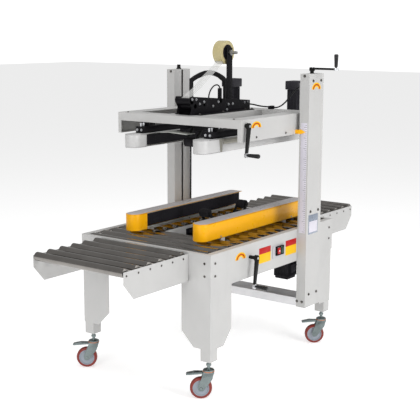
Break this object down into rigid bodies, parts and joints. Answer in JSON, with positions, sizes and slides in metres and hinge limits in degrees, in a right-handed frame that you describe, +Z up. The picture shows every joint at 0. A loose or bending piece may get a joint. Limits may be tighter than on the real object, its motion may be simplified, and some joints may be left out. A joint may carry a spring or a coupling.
{
  "type": "carton sealer machine",
  "caption": "Roller-table carton sealer with side drive belts, a height-adjustable upper tape head between two columns, and braked casters.",
  "frame": {"origin": "centre of the bounding box in plan, on the floor under the casters", "axes": "+X the way the cartons travel, +Y from the operator side to the far side, +Z up"},
  "size_m": [1.852, 0.9482, 1.511],
  "materials": {
    "painted_sheet": "semi-gloss light grey powder coat",
    "roller_steel": "polished steel tube, lightly smeared",
    "zinc_plate": "bright zinc plate",
    "red_polyurethane": "cast polyurethane tread on a grey core",
    "guard_yellow": "gloss yellow powder coat",
    "drive_belt": "ribbed black belt",
    "motor_black": "satin black enamel",
    "head_black": "satin black powder coat",
    "press_rubber": "black rubber rollers on black arms",
    "crank_black": "black oxide with plastic grips",
    "screw_steel": "oiled threaded steel",
    "packing_tape": "wound clear packing tape on a core",
    "switch_grey": "satin grey plastic",
    "button_green": "gloss plastic",
    "button_red": "gloss plastic",
    "cable_black": "satin black cable sheath"
  },
  "bodies": {
    "base": {"table_frame": "painted_sheet", "leg_infeed_near": "painted_sheet", "leg_infeed_far": "painted_sheet", "leg_outfeed_near": "painted_sheet", "leg_outfeed_far": "painted_sheet", "infeed_extension_frame": "painted_sheet", "outfeed_extension_frame": "painted_sheet", "main_rollers_near": "roller_steel", "main_rollers_far": "roller_steel", "column_near": "painted_sheet", "column_far": "painted_sheet", "cross_channel": "painted_sheet", "lower_head": "head_black", "switch_box": "switch_grey", "conduit": "cable_black"},
    "carriage": {"head_frame": "painted_sheet", "upper_head": "head_black", "head_cable": "cable_black"},
    "upper_near_drive": {"upper_housing_near": "painted_sheet", "upper_belt_near": "drive_belt", "upper_motor_near": "motor_black"},
    "upper_far_drive": {"upper_housing_far": "painted_sheet", "upper_belt_far": "drive_belt", "upper_motor_far": "motor_black"},
    "lower_near_drive": {"lower_guide_near": "guard_yellow", "lower_belt_near": "drive_belt", "lower_motor_near": "motor_black"},
    "lower_far_drive": {"lower_guide_far": "guard_yellow", "lower_belt_far": "drive_belt"},
    "lift_crank": {"lift_crank": "crank_black"},
    "lift_screw_far": {"lift_screw_far": "screw_steel"},
    "upper_width_crank": {"upper_width_crank": "crank_black"},
    "lower_width_crank": {"lower_width_crank": "crank_black"},
    "tape_roll": {"tape_roll": "packing_tape"},
    "upper_front_arm": {"upper_front_arm": "press_rubber"},
    "upper_rear_arm": {"upper_rear_arm": "press_rubber"},
    "lower_front_arm": {"lower_front_arm": "press_rubber"},
    "lower_rear_arm": {"lower_rear_arm": "press_rubber"},
    "start_button": {"start_button": "button_green"},
    "stop_button": {"stop_button": "button_red"},
    "infeed_roller_1": {"infeed_roller_1": "roller_steel"},
    "infeed_roller_2": {"infeed_roller_2": "roller_steel"},
    "infeed_roller_3": {"infeed_roller_3": "roller_steel"},
    "infeed_roller_4": {"infeed_roller_4": "roller_steel"},
    "infeed_roller_5": {"infeed_roller_5": "roller_steel"},
    "infeed_roller_6": {"infeed_roller_6": "roller_steel"},
    "outfeed_roller_1": {"outfeed_roller_1": "roller_steel"},
    "outfeed_roller_2": {"outfeed_roller_2": "roller_steel"},
    "outfeed_roller_3": {"outfeed_roller_3": "roller_steel"},
    "outfeed_roller_4": {"outfeed_roller_4": "roller_steel"},
    "outfeed_roller_5": {"outfeed_roller_5": "roller_steel"},
    "outfeed_roller_6": {"outfeed_roller_6": "roller_steel"},
    "caster_fork_infeed_near": {"caster_fork_infeed_near": "zinc_plate"},
    "caster_wheel_infeed_near": {"caster_wheel_infeed_near": "red_polyurethane"},
    "caster_fork_infeed_far": {"caster_fork_infeed_far": "zinc_plate"},
    "caster_wheel_infeed_far": {"caster_wheel_infeed_far": "red_polyurethane"},
    "caster_fork_outfeed_near": {"caster_fork_outfeed_near": "zinc_plate"},
    "caster_wheel_outfeed_near": {"caster_wheel_outfeed_near": "red_polyurethane"},
    "caster_fork_outfeed_far": {"caster_fork_outfeed_far": "zinc_plate"},
    "caster_wheel_outfeed_far": {"caster_wheel_outfeed_far": "red_polyurethane"}
  },
  "joints": [
    {"name": "carriage_lift", "type": "slide", "parent": "base", "child": "carriage", "axis": [0, 0, 1], "range_m": [-0.285, 0.06]},
    {"name": "lift_crank_turn", "type": "hinge", "parent": "base", "child": "lift_crank", "pos_m": [0.241, -0.33811, 1.364], "axis": [0, 0, 1], "range_deg": [-5131, 1081]},
    {"name": "lift_screw_turn", "type": "hinge", "parent": "base", "child": "lift_screw_far", "pos_m": [0.241, 0.44189, 1.364], "axis": [0, 0, 1], "range_deg": [-5131, 1081]},
    {"name": "upper_near_slide", "type": "slide", "parent": "carriage", "child": "upper_near_drive", "axis": [0, 1, 0], "range_m": [-0.085, 0.09]},
    {"name": "upper_far_slide", "type": "slide", "parent": "carriage", "child": "upper_far_drive", "axis": [0, 1, 0], "range_m": [-0.091, 0.086]},
    {"name": "upper_width_crank_turn", "type": "hinge", "parent": "carriage", "child": "upper_width_crank", "pos_m": [-0.235, -0.29611, 1.156], "axis": [0, -1, 0], "range_deg": [-1531, 1621]},
    {"name": "lower_near_slide", "type": "slide", "parent": "base", "child": "lower_near_drive", "axis": [0, 1, 0], "range_m": [-0.08, 0.062]},
    {"name": "lower_far_slide", "type": "slide", "parent": "base", "child": "lower_far_drive", "axis": [0, 1, 0], "range_m": [-0.063, 0.081]},
    {"name": "lower_width_crank_turn", "type": "hinge", "parent": "base", "child": "lower_width_crank", "pos_m": [-0.219, -0.31511, 0.58], "axis": [0, -1, 0], "range_deg": [-1441, 1117]},
    {"name": "tape_roll_spin", "type": "hinge", "parent": "carriage", "child": "tape_roll", "pos_m": [0.084, 0.05189, 1.456], "axis": [0, 1, 0], "continuous": true},
    {"name": "upper_front_arm_swing", "type": "hinge", "parent": "carriage", "child": "upper_front_arm", "pos_m": [-0.1, 0.05189, 1.128], "axis": [0, 1, 0], "range_deg": [0, 30], "stiffness_Nm_per_rad": 5, "springref_deg": -22.92},
    {"name": "upper_rear_arm_swing", "type": "hinge", "parent": "carriage", "child": "upper_rear_arm", "pos_m": [0.11, 0.05189, 1.128], "axis": [0, 1, 0], "range_deg": [-30, 0], "stiffness_Nm_per_rad": 5, "springref_deg": 22.92},
    {"name": "lower_front_arm_swing", "type": "hinge", "parent": "base", "child": "lower_front_arm", "pos_m": [0.02, 0.05189, 0.606], "axis": [0, 1, 0], "range_deg": [-30, 0], "stiffness_Nm_per_rad": 8, "springref_deg": 22.92},
    {"name": "lower_rear_arm_swing", "type": "hinge", "parent": "base", "child": "lower_rear_arm", "pos_m": [0.18, 0.05189, 0.606], "axis": [0, 1, 0], "range_deg": [0, 30], "stiffness_Nm_per_rad": 8, "springref_deg": -22.92},
    {"name": "start_button_press", "type": "slide", "parent": "base", "child": "start_button", "axis": [0, 1, 0], "range_m": [0, 0.003], "stiffness_N_per_m": 600, "springref_m": -0.002},
    {"name": "stop_button_press", "type": "slide", "parent": "base", "child": "stop_button", "axis": [0, 1, 0], "range_m": [0, 0.003], "stiffness_N_per_m": 600, "springref_m": -0.002},
    {"name": "infeed_roller_1_spin", "type": "hinge", "parent": "base", "child": "infeed_roller_1", "pos_m": [-0.547, 0.05189, 0.625], "axis": [0, 1, 0], "continuous": true},
    {"name": "infeed_roller_2_spin", "type": "hinge", "parent": "base", "child": "infeed_roller_2", "pos_m": [-0.619, 0.05189, 0.625], "axis": [0, 1, 0], "continuous": true},
    {"name": "infeed_roller_3_spin", "type": "hinge", "parent": "base", "child": "infeed_roller_3", "pos_m": [-0.691, 0.05189, 0.625], "axis": [0, 1, 0], "continuous": true},
    {"name": "infeed_roller_4_spin", "type": "hinge", "parent": "base", "child": "infeed_roller_4", "pos_m": [-0.763, 0.05189, 0.625], "axis": [0, 1, 0], "continuous": true},
    {"name": "infeed_roller_5_spin", "type": "hinge", "parent": "base", "child": "infeed_roller_5", "pos_m": [-0.835, 0.05189, 0.625], "axis": [0, 1, 0], "continuous": true},
    {"name": "infeed_roller_6_spin", "type": "hinge", "parent": "base", "child": "infeed_roller_6", "pos_m": [-0.907, 0.05189, 0.625], "axis": [0, 1, 0], "continuous": true},
    {"name": "outfeed_roller_1_spin", "type": "hinge", "parent": "base", "child": "outfeed_roller_1", "pos_m": [0.547, 0.05189, 0.625], "axis": [0, 1, 0], "continuous": true},
    {"name": "outfeed_roller_2_spin", "type": "hinge", "parent": "base", "child": "outfeed_roller_2", "pos_m": [0.619, 0.05189, 0.625], "axis": [0, 1, 0], "continuous": true},
    {"name": "outfeed_roller_3_spin", "type": "hinge", "parent": "base", "child": "outfeed_roller_3", "pos_m": [0.691, 0.05189, 0.625], "axis": [0, 1, 0], "continuous": true},
    {"name": "outfeed_roller_4_spin", "type": "hinge", "parent": "base", "child": "outfeed_roller_4", "pos_m": [0.763, 0.05189, 0.625], "axis": [0, 1, 0], "continuous": true},
    {"name": "outfeed_roller_5_spin", "type": "hinge", "parent": "base", "child": "outfeed_roller_5", "pos_m": [0.835, 0.05189, 0.625], "axis": [0, 1, 0], "continuous": true},
    {"name": "outfeed_roller_6_spin", "type": "hinge", "parent": "base", "child": "outfeed_roller_6", "pos_m": [0.907, 0.05189, 0.625], "axis": [0, 1, 0], "continuous": true},
    {"name": "caster_swivel_infeed_near", "type": "hinge", "parent": "base", "child": "caster_fork_infeed_near", "pos_m": [-0.4777, -0.28281, 0.15], "axis": [0, 0, 1], "continuous": true},
    {"name": "caster_roll_infeed_near", "type": "hinge", "parent": "caster_fork_infeed_near", "child": "caster_wheel_infeed_near", "pos_m": [-0.4971, -0.25611, 0.048], "axis": [0.809, 0.5878, 0], "continuous": true},
    {"name": "caster_swivel_infeed_far", "type": "hinge", "parent": "base", "child": "caster_fork_infeed_far", "pos_m": [-0.4777, 0.38659, 0.15], "axis": [0, 0, 1], "continuous": true},
    {"name": "caster_roll_infeed_far", "type": "hinge", "parent": "caster_fork_infeed_far", "child": "caster_wheel_infeed_far", "pos_m": [-0.4971, 0.41329, 0.048], "axis": [0.809, 0.5878, 0], "continuous": true},
    {"name": "caster_swivel_outfeed_near", "type": "hinge", "parent": "base", "child": "caster_fork_outfeed_near", "pos_m": [0.4777, -0.28281, 0.15], "axis": [0, 0, 1], "continuous": true},
    {"name": "caster_roll_outfeed_near", "type": "hinge", "parent": "caster_fork_outfeed_near", "child": "caster_wheel_outfeed_near", "pos_m": [0.4583, -0.25611, 0.048], "axis": [0.809, 0.5878, 0], "continuous": true},
    {"name": "caster_swivel_outfeed_far", "type": "hinge", "parent": "base", "child": "caster_fork_outfeed_far", "pos_m": [0.4777, 0.38659, 0.15], "axis": [0, 0, 1], "continuous": true},
    {"name": "caster_roll_outfeed_far", "type": "hinge", "parent": "caster_fork_outfeed_far", "child": "caster_wheel_outfeed_far", "pos_m": [0.4583, 0.41329, 0.048], "axis": [0.809, 0.5878, 0], "continuous": true}
  ],
  "couplings": [
    {"joint": "lift_crank_turn", "follows": "carriage_lift", "rad_per_m": 314.16},
    {"joint": "lift_screw_turn", "follows": "carriage_lift", "rad_per_m": 314.16},
    {"joint": "upper_far_slide", "follows": "upper_near_slide", "ratio": -1},
    {"joint": "upper_width_crank_turn", "follows": "upper_near_slide", "rad_per_m": 314.16},
    {"joint": "lower_far_slide", "follows": "lower_near_slide", "ratio": -1},
    {"joint": "lower_width_crank_turn", "follows": "lower_near_slide", "rad_per_m": 314.16}
  ]
}
